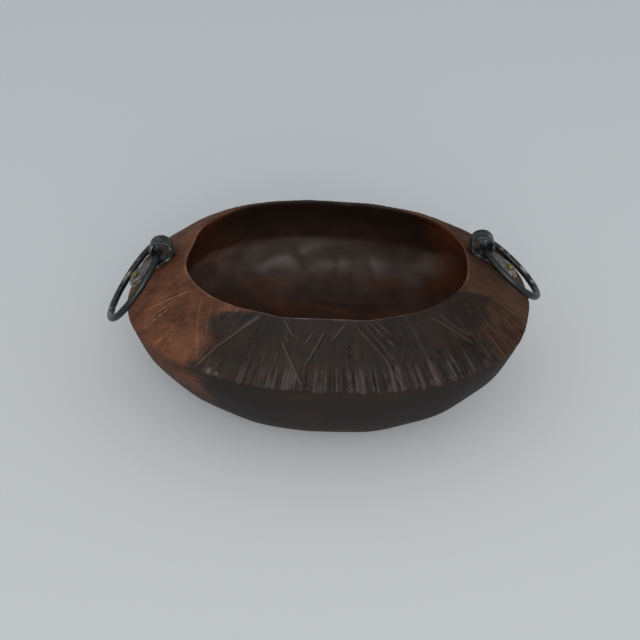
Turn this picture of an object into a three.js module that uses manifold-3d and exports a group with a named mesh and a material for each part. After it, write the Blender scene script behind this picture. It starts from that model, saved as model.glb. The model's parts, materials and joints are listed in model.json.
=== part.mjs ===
// A hand-carved wooden dish with a ring handle at each end. The dish is one block: a round
// lower hull, a keel line, a sloping shoulder that draws in to a thin rim, and a hollow that
// is cut back under the shoulder. Each ring hangs in a strip of iron folded round its wire
// and nailed to the shoulder with one round-headed nail.
// Millimetres. X runs along the dish, Y towards its back, Z up. The foot stands on Z = 0.

import * as THREE from "three";
import { mergeVertices } from "three/addons/utils/BufferGeometryUtils.js";
import Module from "manifold-3d";

const wasm = await Module();
wasm.setup();

// The wooden body.
const keelHalfLength = 101.3;
const keelHalfWidth = 73.6;
const keelSquareness = 2.24;
const keelShiftX = -0.8;
const keelHeight = 55.6;
const keelDroop = 1.4;
const keelDroopSharpness = 8;
const keelRoundCrisp = 0.8;
const keelRoundWorn = 2.5;
const rimHalfLength = 69.3;
const rimHalfWidth = 49;
const rimSquareness = 2.38;
const rimHeight = 77.5;
const rimTurn = -0.9;
const rimShiftX = -0.8;
const rimShiftY = -0.8;
const rimEdge = 1.4;
const rimRound = 0.35;
const shoulderCrownFront = 0.9;
const shoulderCrownBack = 1.9;
const shoulderCrownEnds = 2;
const bandLipCrisp = 0.9;
const bandLipWorn = 0.3;
const bandRelief = 0.9;
const hullFullnessFlank = 1.9;
const hullFullnessLeft = 1.57;
const hullFullnessRight = 1.72;
const footShare = 0.62;
const footRound = 4;
const hollowUndercutFlank = 8;
const hollowUndercutEnds = 10;
const hollowTurnDepth = 30;
const basinFullness = 2.2;
const floorThickness = 12;

// The handles.
const wireDiameter = 3.5;
const ringJointGap = 0.4;
const strapWidth = 8;
const strapThickness = 1.3;
const loopOuterRadius = 5.9;
const loopWrap = 285;
const loopNeck = 10.3;
const leafSlit = 0.3;
const nailLength = 13;
const nailPoint = 3;
const nailShankDiameter = 2;
const nailHeadDiameter = 4.2;
const nailHeadHeight = 1.8;
const nailHeadEdge = 0.3;
const seatGap = 0.3;
const slopeSpan = 1;

// Angles in degrees: where the clip stands round the rim, which way it points, how the ring
// leans in it and where the ends of the wire meet. Distances: down the shoulder from the rim
// to the clip, down the strap to its end and its nail, and how far the ring is pulled out and
// sags in the loop.
const handles = {
  left: {
    angle: 180.8, yaw: 188, down: 12.7, tail: 22.5, nail: 19.2,
    ringRadius: 22.2, ringTurn: -3, ringTilt: 1.5, ringPull: 1.8, ringSag: 0.3, joint: -35,
  },
  right: {
    angle: 9.1, yaw: 3, down: 5.9, tail: 22.8, nail: 19.4,
    ringRadius: 19.1, ringTurn: 2, ringTilt: -6.5, ringPull: 1.6, ringSag: 1, joint: 150,
  },
};

const columns = 96;
const hullRows = 13;
const keelRows = 3;
const shoulderRows = 7;
const wallRows = 5;
const basinRows = 9;
const leafSteps = 6;
const neckSteps = 7;
const loopStep = 15;
const headRows = 5;
const roundSides = 16;
const ringSteps = 56;
const wireSides = 10;

const radians = THREE.MathUtils.degToRad;
const lerp = THREE.MathUtils.lerp;

// Radius of a superellipse at a polar angle.
function ovalRadius(halfLength, halfWidth, squareness, angle) {
  const along = (Math.abs(Math.cos(angle)) / halfLength) ** squareness;
  const across = (Math.abs(Math.sin(angle)) / halfWidth) ** squareness;
  return (along + across) ** (-1 / squareness);
}

function keelRadius(angle) {
  const oval = ovalRadius(keelHalfLength, keelHalfWidth, keelSquareness, angle);
  return oval + keelShiftX * Math.cos(angle);
}

// The rim is carved by eye, so it sits a little turned and off the middle.
function rimRadius(angle) {
  const oval = ovalRadius(rimHalfLength, rimHalfWidth, rimSquareness, angle - radians(rimTurn));
  return oval + rimShiftX * Math.cos(angle) + rimShiftY * Math.sin(angle);
}

// The keel line hangs a little lower at the ends than along the sides.
function keelLevel(angle) {
  return keelHeight - keelDroop * Math.abs(Math.cos(angle)) ** keelDroopSharpness;
}

// A value that differs between the long sides and the ends.
function sidesToEnds(sides, ends, angle) {
  return lerp(sides, ends, Math.cos(angle) ** 2);
}

// The left end is rubbed smooth: 0 where the keel is crisp, 1 where it is worn.
function wear(angle) {
  return THREE.MathUtils.smoothstep(-Math.cos(angle), 0.62, 0.9);
}

// A point of the shoulder: share 0 is the keel and 1 is the rim.
function shoulderPoint(angle, share) {
  const crownSide = Math.sin(angle) < 0 ? shoulderCrownFront : shoulderCrownBack;
  const crown = sidesToEnds(crownSide, shoulderCrownEnds, angle);
  const radius = lerp(keelRadius(angle), rimRadius(angle), share);
  const level = lerp(keelLevel(angle), rimHeight, share) + 4 * share * (1 - share) * crown;
  return new THREE.Vector2(radius, level);
}

function hullFullness(angle) {
  const end = Math.cos(angle) < 0 ? hullFullnessLeft : hullFullnessRight;
  return sidesToEnds(hullFullnessFlank, end, angle);
}

// How far below the keel the curve of the lower hull would come to its lowest point.
function hullReach(angle) {
  const fullness = hullFullness(angle);
  return keelLevel(angle) / (1 - footShare ** fullness) ** (1 / fullness);
}

// A point of the lower hull: turn 0 is the keel, and the foot lies towards a right angle.
function hullPoint(angle, turn, inset) {
  const power = 2 / hullFullness(angle);
  const radius = (keelRadius(angle) - inset) * Math.cos(turn) ** power;
  const level = keelLevel(angle) - hullReach(angle) * Math.sin(turn) ** power;
  if (level > footRound) return new THREE.Vector2(radius, level);
  if (level < -footRound) return new THREE.Vector2(radius, 0);
  return new THREE.Vector2(radius, (level + footRound) ** 2 / (4 * footRound));
}

// The turn at which the lower hull has come down by a given depth.
function hullTurn(angle, depth) {
  return Math.asin((depth / hullReach(angle)) ** (hullFullness(angle) / 2));
}

// The lower hull from the foot up to the small step under the carved band.
function hullSection(angle, round, lip, step) {
  const points = [];
  const footTurn = hullTurn(angle, keelLevel(angle) + footRound);
  const topTurn = hullTurn(angle, round + lip + step);
  for (let i = 0; i <= hullRows; i++) {
    points.push(hullPoint(angle, lerp(footTurn, topTurn, i / hullRows), step));
  }
  return points;
}

// The edge of the carved band, rounded over on to the shoulder.
function keelSection(angle, round, lip, start) {
  const below = hullPoint(angle, hullTurn(angle, round), 0);
  const above = shoulderPoint(angle, start);
  const curve = new THREE.QuadraticBezierCurve(below, shoulderPoint(angle, 0), above);
  const points = [new THREE.Vector2(below.x, below.y - lip)];
  for (let i = 0; i < keelRows; i++) points.push(curve.getPoint(i / keelRows));
  return points;
}

function shoulderSection(angle, start) {
  const points = [];
  for (let i = 0; i < shoulderRows; i++) {
    points.push(shoulderPoint(angle, lerp(start, 1, i / shoulderRows)));
  }
  const rim = shoulderPoint(angle, 1);
  points.push(new THREE.Vector2(rim.x, rim.y - rimRound));
  points.push(new THREE.Vector2(rim.x - rimRound, rim.y));
  return points;
}

// The hollow: a wall cut back under the shoulder, then a rounded basin.
function hollowSection(angle) {
  const lip = rimRadius(angle) - rimEdge;
  const undercut = sidesToEnds(hollowUndercutFlank, hollowUndercutEnds, angle);
  const points = [];
  for (let i = 0; i <= wallRows; i++) {
    const share = i / wallRows;
    const radius = lip + undercut * Math.sin(share * Math.PI / 2);
    points.push(new THREE.Vector2(radius, rimHeight - hollowTurnDepth * share));
  }
  const turnLevel = rimHeight - hollowTurnDepth;
  for (let i = 1; i < basinRows; i++) {
    const turn = (i / basinRows) * Math.PI / 2;
    const radius = (lip + undercut) * Math.cos(turn) ** (2 / basinFullness);
    points.push(new THREE.Vector2(radius, lerp(turnLevel, floorThickness, Math.sin(turn))));
  }
  return points;
}

// The section of the wood at one angle, from the foot over the keel and rim to the floor.
function sectionPoints(angle) {
  const worn = wear(angle);
  const round = lerp(keelRoundCrisp, keelRoundWorn, worn);
  const lip = lerp(bandLipCrisp, bandLipWorn, worn);
  const step = lerp(bandRelief, 0, worn);
  const start = round / shoulderPoint(angle, 0).distanceTo(shoulderPoint(angle, 1));
  return [
    ...hullSection(angle, round, lip, step),
    ...keelSection(angle, round, lip, start),
    ...shoulderSection(angle, start),
    ...hollowSection(angle),
  ];
}

// A closed skin through one section for each angle, with a flat foot and a rounded floor.
function buildBowl() {
  const positions = [];
  const indices = [];
  let rows = 0;
  for (let column = 0; column < columns; column++) {
    const angle = (column / columns) * 2 * Math.PI;
    const section = sectionPoints(angle);
    rows = section.length;
    for (const point of section) {
      positions.push(point.x * Math.cos(angle), point.x * Math.sin(angle), point.y);
    }
  }
  const foot = positions.length / 3;
  positions.push(0, 0, 0);
  const floor = foot + 1;
  positions.push(0, 0, floorThickness);
  for (let column = 0; column < columns; column++) {
    const here = column * rows;
    const next = ((column + 1) % columns) * rows;
    for (let row = 0; row + 1 < rows; row++) {
      indices.push(here + row, next + row, next + row + 1);
      indices.push(here + row, next + row + 1, here + row + 1);
    }
    indices.push(foot, next, here);
    indices.push(floor, here + rows - 1, next + rows - 1);
  }
  const geometry = new THREE.BufferGeometry();
  geometry.setAttribute("position", new THREE.Float32BufferAttribute(positions, 3));
  geometry.setIndex(indices);
  return geometry;
}

function toSolid(geometry) {
  const bare = geometry.clone();
  bare.deleteAttribute("normal");
  bare.deleteAttribute("uv");
  const merged = mergeVertices(bare, 1e-4);
  return new wasm.Manifold(new wasm.Mesh({
    numProp: 3,
    vertProperties: new Float32Array(merged.attributes.position.array),
    triVerts: new Uint32Array(merged.index.array),
  }));
}

function toGeometry(solid) {
  const mesh = solid.getMesh();
  const geometry = new THREE.BufferGeometry();
  geometry.setAttribute("position", new THREE.BufferAttribute(mesh.vertProperties, 3));
  geometry.setIndex(new THREE.BufferAttribute(mesh.triVerts, 1));
  return geometry;
}

// Height of the shoulder over a place in plan.
function shoulderHeight(x, y) {
  const angle = Math.atan2(y, x);
  const outer = keelRadius(angle);
  const share = (outer - Math.hypot(x, y)) / (outer - rimRadius(angle));
  return shoulderPoint(angle, share).y;
}

// The direction straight out of the shoulder over a place in plan.
function shoulderNormal(x, y) {
  const half = slopeSpan / 2;
  const fallX = shoulderHeight(x - half, y) - shoulderHeight(x + half, y);
  const fallY = shoulderHeight(x, y - half) - shoulderHeight(x, y + half);
  return new THREE.Vector3(fallX, fallY, slopeSpan).normalize();
}

// The frame of a handle: X runs down the shoulder, Y across the strap and Z out of the wood.
function handleFrame(handle) {
  const angle = radians(handle.angle);
  const slope = shoulderPoint(angle, 1).distanceTo(shoulderPoint(angle, 0));
  const spot = shoulderPoint(angle, 1 - handle.down / slope);
  const place = new THREE.Vector3(spot.x * Math.cos(angle), spot.x * Math.sin(angle), spot.y);
  const out = shoulderNormal(place.x, place.y);
  const yaw = radians(handle.yaw);
  const down = new THREE.Vector3(Math.cos(yaw), Math.sin(yaw), 0);
  down.addScaledVector(out, -down.dot(out)).normalize();
  const across = new THREE.Vector3().crossVectors(out, down);
  return new THREE.Matrix4().makeBasis(down, across, out).setPosition(place);
}

// The wood under the strap, as a line in the handle's own X and Z.
function woodLine(handle, frame) {
  const inverse = frame.clone().invert();
  const origin = new THREE.Vector3().setFromMatrixPosition(frame);
  const yaw = radians(handle.yaw);
  const points = [];
  for (let run = 0; run <= handle.tail + strapThickness; run += strapThickness) {
    const x = origin.x + Math.cos(yaw) * run;
    const y = origin.y + Math.sin(yaw) * run;
    const local = new THREE.Vector3(x, y, shoulderHeight(x, y)).applyMatrix4(inverse);
    points.push(new THREE.Vector2(local.x, local.z));
  }
  return points;
}

// Height of the wood at a distance down the strap.
function woodUnder(line, run) {
  let i = 1;
  while (i < line.length - 1 && line[i].x < run) i += 1;
  const share = (run - line[i - 1].x) / (line[i].x - line[i - 1].x);
  return lerp(line[i - 1].y, line[i].y, share);
}

// The middle line of the folded strip: up the wood, round the wire and back down again.
function stripLine(handle, frame) {
  const wood = woodLine(handle, frame);
  const lower = (run) => woodUnder(wood, run) + seatGap + strapThickness / 2;
  const upper = (run) => lower(run) + strapThickness + leafSlit;
  const loopRadius = loopOuterRadius - strapThickness / 2;
  const points = [];
  for (let i = 0; i < leafSteps; i++) {
    const run = lerp(handle.tail, strapThickness, i / (leafSteps - 1));
    points.push(new THREE.Vector2(run, lower(run)));
  }
  for (let wrap = 0; wrap <= loopWrap; wrap += loopStep) {
    const turn = radians(-90 - wrap);
    const level = seatGap + loopOuterRadius + loopRadius * Math.sin(turn);
    points.push(new THREE.Vector2(loopRadius * Math.cos(turn), level));
  }
  const neckStart = points[points.length - 1];
  const heading = neckStart.clone().sub(points[points.length - 2]).normalize();
  const reach = strapThickness * 2;
  const neck = new THREE.CubicBezierCurve(
    neckStart,
    neckStart.clone().addScaledVector(heading, reach),
    new THREE.Vector2(loopNeck - reach, upper(loopNeck - reach)),
    new THREE.Vector2(loopNeck, upper(loopNeck)),
  );
  points.push(...neck.getPoints(neckSteps).slice(1));
  for (let i = 1; i < leafSteps; i++) {
    const run = lerp(loopNeck, handle.tail, i / (leafSteps - 1));
    points.push(new THREE.Vector2(run, upper(run)));
  }
  return points;
}

// A strip of even thickness along a line, as a closed outline.
function stripShape(line) {
  const left = [];
  const right = [];
  for (let i = 0; i < line.length; i++) {
    const before = line[Math.max(0, i - 1)];
    const after = line[Math.min(line.length - 1, i + 1)];
    const side = new THREE.Vector2(before.y - after.y, after.x - before.x).normalize();
    left.push(line[i].clone().addScaledVector(side, strapThickness / 2));
    right.push(line[i].clone().addScaledVector(side, -strapThickness / 2));
  }
  return new THREE.Shape([...left, ...right.reverse()]);
}

// Where the nail stands: on the strap, square to the wood below it.
function nailPlace(handle, frame) {
  const wood = woodLine(handle, frame);
  const half = nailShankDiameter / 2;
  const rise = woodUnder(wood, handle.nail + half) - woodUnder(wood, handle.nail - half);
  const place = new THREE.Matrix4().makeRotationY(-Math.atan2(rise, nailShankDiameter));
  return place.setPosition(handle.nail, 0, woodUnder(wood, handle.nail));
}

// How far the underside of the nail's head stands off the wood.
function headLevel() {
  return 2 * (seatGap + strapThickness) + leafSlit;
}

// The hole the nail leaves, through both leaves of the strap and into the wood.
function nailHole() {
  const low = headLevel() - nailLength - seatGap;
  const high = headLevel() + nailHeadHeight;
  const radius = nailShankDiameter / 2 + seatGap;
  const rod = new THREE.CylinderGeometry(radius, radius, high - low, roundSides);
  rod.rotateX(Math.PI / 2);
  return rod.translate(0, 0, (low + high) / 2);
}

// A round-headed nail with a drawn point.
function buildNail() {
  const shank = nailShankDiameter / 2;
  const head = nailHeadDiameter / 2;
  const profile = [
    new THREE.Vector2(0, -nailLength),
    new THREE.Vector2(shank, nailPoint - nailLength),
    new THREE.Vector2(shank, 0),
    new THREE.Vector2(head, 0),
  ];
  for (let i = 0; i < headRows; i++) {
    const turn = (i / headRows) * Math.PI / 2;
    const level = lerp(nailHeadEdge, nailHeadHeight, Math.sin(turn));
    profile.push(new THREE.Vector2(head * Math.cos(turn), level));
  }
  profile.push(new THREE.Vector2(0, nailHeadHeight));
  const nail = new THREE.LatheGeometry(profile, roundSides);
  nail.rotateX(Math.PI / 2);
  return nail.translate(0, 0, headLevel());
}

function buildClip(handle, frame) {
  const shape = stripShape(stripLine(handle, frame));
  const strip = new THREE.ExtrudeGeometry(shape, { depth: strapWidth, bevelEnabled: false });
  strip.translate(0, 0, -strapWidth / 2);
  strip.rotateX(Math.PI / 2);
  const hole = nailHole().applyMatrix4(nailPlace(handle, frame));
  return toGeometry(toSolid(strip).subtract(toSolid(hole)));
}

// A wire bent to a ring that hangs from the origin along X. Its two ends almost meet.
class RingPath extends THREE.Curve {
  constructor(handle) {
    super();
    this.radius = handle.ringRadius;
    this.start = radians(handle.joint);
  }

  getPoint(share, target = new THREE.Vector3()) {
    const open = ringJointGap / this.radius;
    const turn = this.start + open / 2 + share * (2 * Math.PI - open);
    return target.set(this.radius * (1 + Math.cos(turn)), this.radius * Math.sin(turn), 0);
  }
}

function buildRing(handle) {
  const section = new THREE.Shape();
  section.absarc(0, 0, wireDiameter / 2, 0, 2 * Math.PI);
  const points = section.getSpacedPoints(wireSides).slice(0, wireSides);
  return new THREE.ExtrudeGeometry(new THREE.Shape(points), {
    steps: ringSteps,
    extrudePath: new RingPath(handle),
    bevelEnabled: false,
  });
}

// The hinge of a ring: its wire sags and is pulled outwards in the clip's loop.
function hingeFrame(handle, frame) {
  const lean = new THREE.Matrix4().makeRotationX(radians(handle.ringTilt));
  const turn = new THREE.Matrix4().makeRotationZ(radians(handle.ringTurn));
  const level = seatGap + loopOuterRadius - handle.ringSag;
  return frame.clone().multiply(turn.multiply(lean).setPosition(handle.ringPull, 0, level));
}

// A ring's hinge with the ring lifted about it.
function lifted(hinge, lift) {
  return hinge.clone().multiply(new THREE.Matrix4().makeRotationY(-lift));
}

// The triangles of the wood that lie within a ring's reach.
function woodNear(geometry, hinge, reach) {
  const place = new THREE.Vector3().setFromMatrixPosition(hinge);
  const position = geometry.attributes.position;
  const index = geometry.index;
  const triangles = [];
  for (let i = 0; i < index.count; i += 3) {
    const triangle = new THREE.Triangle();
    triangle.setFromAttributeAndIndices(
      position, index.getX(i), index.getX(i + 1), index.getX(i + 2));
    if (triangle.a.distanceTo(place) < reach) triangles.push(triangle);
  }
  return triangles;
}

// Least distance between a lifted ring and the wood.
function ringClearance(handle, pose, triangles) {
  const path = new RingPath(handle);
  const nearest = new THREE.Vector3();
  let least = Infinity;
  for (let i = 0; i < ringSteps; i++) {
    const point = path.getPoint(i / ringSteps).applyMatrix4(pose);
    for (const triangle of triangles) {
      triangle.closestPointToPoint(point, nearest);
      least = Math.min(least, nearest.distanceTo(point));
    }
  }
  return least - wireDiameter / 2;
}

// The lift at which a ring comes down to rest on the wood.
function restingLift(handle, hinge, block) {
  const triangles = woodNear(block, hinge, 3 * handle.ringRadius);
  let free = Math.PI / 2;
  let stopped = 0 - free;
  while (free - stopped > radians(0.02)) {
    const middle = (free + stopped) / 2;
    if (ringClearance(handle, lifted(hinge, middle), triangles) > seatGap) free = middle;
    else stopped = middle;
  }
  return free;
}

const wood = new THREE.MeshStandardMaterial({ color: "#4a2c1e", roughness: 0.6, metalness: 0 });
const iron = new THREE.MeshStandardMaterial({ color: "#2b2e31", roughness: 0.45, metalness: 0.9 });
const brass = new THREE.MeshStandardMaterial({ color: "#a8894a", roughness: 0.4, metalness: 1 });

function placed(name, geometry, material, place) {
  const mesh = new THREE.Mesh(geometry, material);
  mesh.name = name;
  mesh.applyMatrix4(place);
  return mesh;
}

const dish = new THREE.Group();
const block = buildBowl();
let body = toSolid(block);

for (const [side, handle] of Object.entries(handles)) {
  const frame = handleFrame(handle);
  const nailSpot = frame.clone().multiply(nailPlace(handle, frame));
  const hinge = hingeFrame(handle, frame);
  const rest = lifted(hinge, restingLift(handle, hinge, block));
  body = body.subtract(toSolid(nailHole().applyMatrix4(nailSpot)));
  dish.add(placed(`clip_${side}`, buildClip(handle, frame), iron, frame));
  dish.add(placed(`nail_${side}`, buildNail(), brass, nailSpot));
  dish.add(placed(`ring_${side}`, buildRing(handle), iron, rest));
}

dish.add(placed("bowl", toGeometry(body), wood, new THREE.Matrix4()));

export default dish;
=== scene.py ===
import itertools
import json
import math

import bpy
import numpy as np
from mathutils import Matrix, Vector


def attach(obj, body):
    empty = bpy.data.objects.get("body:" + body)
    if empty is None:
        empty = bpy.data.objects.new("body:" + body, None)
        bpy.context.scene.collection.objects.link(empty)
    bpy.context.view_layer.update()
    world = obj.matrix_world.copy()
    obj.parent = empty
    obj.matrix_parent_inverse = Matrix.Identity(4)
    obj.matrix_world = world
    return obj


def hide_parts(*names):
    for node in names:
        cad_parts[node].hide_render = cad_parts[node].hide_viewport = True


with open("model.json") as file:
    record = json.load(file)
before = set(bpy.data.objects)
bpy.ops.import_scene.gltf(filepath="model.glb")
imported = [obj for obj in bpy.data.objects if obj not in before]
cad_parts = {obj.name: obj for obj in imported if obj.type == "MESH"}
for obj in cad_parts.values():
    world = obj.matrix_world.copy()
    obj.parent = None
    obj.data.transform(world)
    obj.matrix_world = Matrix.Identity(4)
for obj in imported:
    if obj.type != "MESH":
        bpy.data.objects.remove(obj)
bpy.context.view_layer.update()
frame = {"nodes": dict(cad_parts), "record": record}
print("frame loaded")

millimetre = 0.001

# The wooden body, in millimetres, as in the part's own source.
bowl = {
    "keelOval": (101.3, 73.6, 2.24),  # half length, half width, squareness
    "keelShift": -0.8,
    "keelHeight": 55.6,
    "keelDroop": (1.4, 8),  # and how sharply it sets in at the ends
    "keelRound": (0.8, 2.5),  # where it is crisp and where it is worn
    "bandLip": (0.9, 0.3),
    "bandRelief": (0.9, 0),
    "worn": (0.62, 0.9),
    "rimOval": (69.3, 49, 2.38),
    "rimTurn": -0.9,
    "rimShift": (-0.8, -0.8),
    "rimHeight": 77.5,
    "rimEdge": 0.95,
    "rimRound": 0.3,
    "rimFall": 1.1,
    "crown": (0.9, 1.9, 2),  # in front, behind and at the ends
    "fullness": (1.9, 1.57, 1.72),  # of the hull: flanks, left end and right end
    "footShare": 0.62,
    "footRound": 4,
    "undercut": (8, 10),  # at the flanks and ends
    "turnDepth": 30,
    "turnTilt": 15,
    "wallBow": 0.85,
    "basinFullness": 2.7,
    "floorThickness": 12,
}

# How finely the body is cut up: the hull and hollow use every fourth column.
bowlMesh = {
    "columns": 1120,
    "thinning": 4,
    "hullRows": 26,
    "keelRows": 4,
    "shoulderRows": 53,
    "wallRows": 18,
    "basinRows": 30,
}

# Soft waves of hand work, and waves that break up a tone: strength, size in millimetres, seed.
waves = {
    "hull": (0.22, 30, 34),
    "shoulder": (0.16, 22, 33),
    "rim": (0.28, 24, 38),
    "keel": (0.35, 6, 45),
    "hollow": (0.35, 26, 36),
    "ribs": (0.65, 4.5, 31),
    "fineRibs": (0.8, 2.2, 30),
    "brokenRibs": (0.4, 7, 32),
    "chips": (1, 9, 46),
    "hue": (1, 5.5, 47),
    "leftEdge": (2, 16, 39),
    "rightEdge": (0.8, 12, 40),
    "fan": (1.2, 7, 48),
    "rimSeen": (1, 8, 49),
}

# Scoops of the gouge: depth and size in millimetres, seed.
gouges = {"hull": (0.3, 17, 35), "hollow": (1.1, 15, 37), "hollowFine": (0.3, 7.5, 50)}


def blend(low, high, share):
    return low + (high - low) * share


def smoothStep(value, low, high):
    share = np.clip((value - low) / (high - low), 0, 1)
    return share * share * (3 - 2 * share)


def plateau(value, riseFrom, riseTo, fallFrom, fallTo):
    return smoothStep(value, riseFrom, riseTo) * (1 - smoothStep(value, fallFrom, fallTo))


def ovalRadius(halfLength, halfWidth, squareness, angle):
    along = (np.abs(np.cos(angle)) / halfLength) ** squareness
    across = (np.abs(np.sin(angle)) / halfWidth) ** squareness
    return (along + across) ** (-1 / squareness)


def keelRadius(angle):
    return ovalRadius(*bowl["keelOval"], angle) + bowl["keelShift"] * np.cos(angle)


def rimRadius(angle):
    oval = ovalRadius(*bowl["rimOval"], angle - math.radians(bowl["rimTurn"]))
    return oval + bowl["rimShift"][0] * np.cos(angle) + bowl["rimShift"][1] * np.sin(angle)


def keelLevel(angle):
    droop, sharpness = bowl["keelDroop"]
    return bowl["keelHeight"] - droop * np.abs(np.cos(angle)) ** sharpness


def sidesToEnds(sides, ends, angle):
    return blend(sides, ends, np.cos(angle) ** 2)


def wear(angle):  # 0 where the keel is crisp, 1 at the rubbed left end
    return smoothStep(-np.cos(angle), *bowl["worn"])


def shoulderPoint(angle, share):  # share 0 is the keel and 1 is the rim
    front, back, ends = bowl["crown"]
    crown = sidesToEnds(np.where(np.sin(angle) < 0, front, back), ends, angle)
    radius = blend(keelRadius(angle), rimRadius(angle), share)
    level = blend(keelLevel(angle), bowl["rimHeight"], share) + 4 * share * (1 - share) * crown
    return radius, level


def shoulderSlope(angle):
    keel, rim = shoulderPoint(angle, 0), shoulderPoint(angle, 1)
    return np.hypot(keel[0] - rim[0], keel[1] - rim[1])


def hullFullness(angle):
    flank, left, right = bowl["fullness"]
    return sidesToEnds(flank, np.where(np.cos(angle) < 0, left, right), angle)


def hullReach(angle):
    fullness = hullFullness(angle)
    return keelLevel(angle) / (1 - bowl["footShare"] ** fullness) ** (1 / fullness)


def hullPoint(angle, turn, inset):
    power = 2 / hullFullness(angle)
    radius = (keelRadius(angle) - inset) * np.cos(turn) ** power
    level = keelLevel(angle) - hullReach(angle) * np.sin(turn) ** power
    soft = bowl["footRound"]
    rounded = (np.maximum(level, -soft) + soft) ** 2 / (4 * soft)
    return radius, np.where(level > soft, level, rounded)


def hullTurn(angle, depth):
    return np.arcsin((depth / hullReach(angle)) ** (hullFullness(angle) / 2))


# The rows of the body, from the foot over the keel and rim to the floor: the kind of each row,
# its share of the slope or of the hollow's wall, and its radius and level at every angle.
def bowlRows(angle):
    worn = wear(angle)
    rounding, lip, step = (blend(*bowl[k], worn) for k in ("keelRound", "bandLip", "bandRelief"))
    start = rounding / shoulderSlope(angle)
    rows = []
    foot = hullTurn(angle, keelLevel(angle) + bowl["footRound"])
    top = hullTurn(angle, rounding + lip + step)
    for i in range(bowlMesh["hullRows"] + 1):
        turn = blend(foot, top, i / bowlMesh["hullRows"])
        rows.append(("hull", 0, hullPoint(angle, turn, step)))
    below = hullPoint(angle, hullTurn(angle, rounding), 0)
    corner, above = shoulderPoint(angle, 0), shoulderPoint(angle, start)
    rows.append(("band", 0, (below[0], below[1] - lip)))
    for i in range(bowlMesh["keelRows"]):
        t = i / bowlMesh["keelRows"]
        pull = ((1 - t) ** 2, 2 * t * (1 - t), t * t)
        bend = [sum(p * at for p, at in zip(pull, three)) for three in zip(below, corner, above)]
        rows.append(("band", 0, bend))
    for i in range(bowlMesh["shoulderRows"]):
        share = blend(start, 1, i / bowlMesh["shoulderRows"])
        rows.append(("band", share, shoulderPoint(angle, share)))
    rim, height = rimRadius(angle), bowl["rimHeight"] + 0 * angle
    soft = bowl["rimRound"]
    for inward, down in ((0, 1), (1, 0), (1.8, 0.3)):  # the rim rolls over in four rows
        rows.append(("rim", 1, (rim - inward * soft, height - down * soft)))
    rows.append(("hollow", 0, (rim - 2.2 * soft, height - 0.8 * soft)))
    lipRadius = rim - bowl["rimEdge"]
    undercut = sidesToEnds(*bowl["undercut"], angle)
    for i in range(bowlMesh["wallRows"] + 1):
        share = i / bowlMesh["wallRows"]
        level = bowl["rimHeight"] - blend(bowl["rimFall"], bowl["turnDepth"], share)
        out = blend(share, math.sin(share * math.pi / 2), bowl["wallBow"])
        rows.append(("hollow", share, (lipRadius + undercut * out, level + 0 * angle)))
    turnLevel = bowl["rimHeight"] - bowl["turnDepth"]
    power, tilt = 2 / bowl["basinFullness"], math.radians(bowl["turnTilt"])
    for i in range(1, bowlMesh["basinRows"]):
        turn = blend(tilt, math.pi / 2, i / bowlMesh["basinRows"])
        radius = (lipRadius + undercut) * (math.cos(turn) / math.cos(tilt)) ** power
        fall = (math.sin(turn) - math.sin(tilt)) / (1 - math.sin(tilt))
        level = blend(turnLevel, bowl["floorThickness"], fall) + 0 * angle
        rows.append(("hollow", 1 + i / bowlMesh["basinRows"], (radius, level)))
    return rows


# Soft unevenness: a sum of waves in seeded directions, about -2 to 2.
def ripples(points, size, seed, waves=20):
    dice = np.random.default_rng(seed)
    headings = dice.normal(size=(waves, 3))
    headings /= np.linalg.norm(headings, axis=1)[:, None]
    paces = 2 * math.pi / size * dice.uniform(0.6, 1.5, waves)
    phases = dice.uniform(0, 2 * math.pi, waves)
    total = np.zeros(points.shape[:-1])
    for heading, pace, phase in zip(headings, paces, phases):
        total += np.cos(points @ heading * pace + phase)
    return total / math.sqrt(waves / 2)


# Overlapping scoops of a gouge: 0 in the middle of a scoop, near 1 where two meet.
def scoops(points, size, seed):
    dice = np.random.default_rng(seed)
    repeat = 32  # the scoops repeat after so many cells
    middles = dice.uniform(0, 1, (repeat, repeat, repeat, 3))
    cells = np.floor(points / size).astype(int)
    nearest = np.ones(points.shape[:-1])
    for beside in itertools.product((-1, 0, 1), repeat=3):
        cell = cells + beside
        x, y, z = np.moveaxis(cell % repeat, -1, 0)
        away = (cell + middles[x, y, z]) * size - points
        nearest = np.minimum(nearest, (away ** 2).sum(-1) / size ** 2)
    return nearest


def wave(name, points):
    strength, size, seed = waves[name]
    return strength * ripples(points, size, seed)


def gouge(name, points):
    depth, size, seed = gouges[name]
    return depth * (scoops(points, size, seed) - 0.3)


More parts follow.
